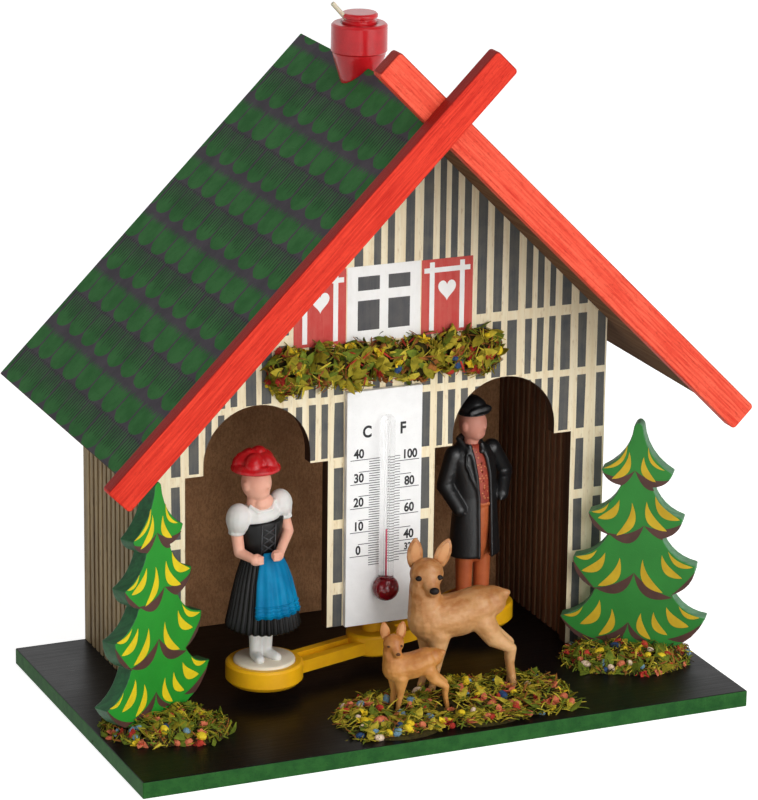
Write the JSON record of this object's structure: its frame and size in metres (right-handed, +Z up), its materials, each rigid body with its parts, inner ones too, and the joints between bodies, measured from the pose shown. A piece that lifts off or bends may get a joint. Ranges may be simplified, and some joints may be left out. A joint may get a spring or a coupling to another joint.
{
  "type": "weather house",
  "caption": "Small chalet weather house: two figures on a swinging arm hung from twisting gut, with a thermometer, trees and deer on a base board.",
  "frame": {"origin": "middle of the underside of the base board", "axes": "+X to the viewer's right along the front, +Y from the front to the back of the house, +Z up"},
  "size_m": [0.1593, 0.0947, 0.1617],
  "materials": {
    "base_paint": "black satin paint over plywood, green stained edges",
    "printed_wood": "varnished pale wood printed with dark bars, window and shutters",
    "side_wood": "grooved brown wood, satin",
    "hardboard": "smooth brown hardboard",
    "roof_print": "plywood printed with green scale tiles",
    "stained_wood": "orange red stained wood, satin",
    "red_lacquer": "glossy red lacquer on turned wood",
    "gut": "ivory twisted gut, satin",
    "wire": "bright drawn wire",
    "yellow_plastic": "glossy yellow moulding",
    "woman_paint": "hand painted moulding, satin",
    "man_paint": "hand painted moulding, satin",
    "card": "printed card, satin",
    "glass": "clear drawn glass",
    "spirit": "red dyed spirit",
    "tree_print": "bright green paint with yellow strokes",
    "deer_plastic": "tan soft plastic with painted details",
    "moss": "dried shredded leaf and flower petals"
  },
  "bodies": {
    "house": {"base_board": "base_paint", "front_wall": "printed_wood", "left_side_wall": "side_wood", "right_side_wall": "side_wood", "back_wall": "hardboard", "left_roof_panel": "roof_print", "right_roof_panel": "roof_print", "left_bargeboard": "stained_wood", "right_bargeboard": "stained_wood", "chimney_tube": "red_lacquer", "gut_strand": "gut", "gut_guide_eye": "wire", "thermometer_card": "card", "thermometer_glass": "glass", "thermometer_spirit": "spirit", "left_tree": "tree_print", "right_tree": "tree_print", "doe": "deer_plastic", "fawn": "deer_plastic", "left_tree_moss": "moss", "right_tree_moss": "moss", "deer_moss": "moss", "window_moss": "moss"},
    "knob": {"chimney_knob": "red_lacquer", "gut_tail": "gut"},
    "arm": {"figure_arm": "yellow_plastic", "gut_clamp_plug": "yellow_plastic", "woman_figure": "woman_paint", "man_figure": "man_paint"}
  },
  "joints": [
    {"name": "weather_turn", "type": "hinge", "parent": "house", "child": "arm", "pos_m": [0.0009, 0.0055, 0.012], "axis": [0, 0, 1], "range_deg": [-36, 14], "stiffness_Nm_per_rad": 0.0005},
    {"name": "knob_turn", "type": "hinge", "parent": "house", "child": "knob", "pos_m": [0, 0.015, 0.155], "axis": [0, 0, 1], "continuous": true}
  ]
}
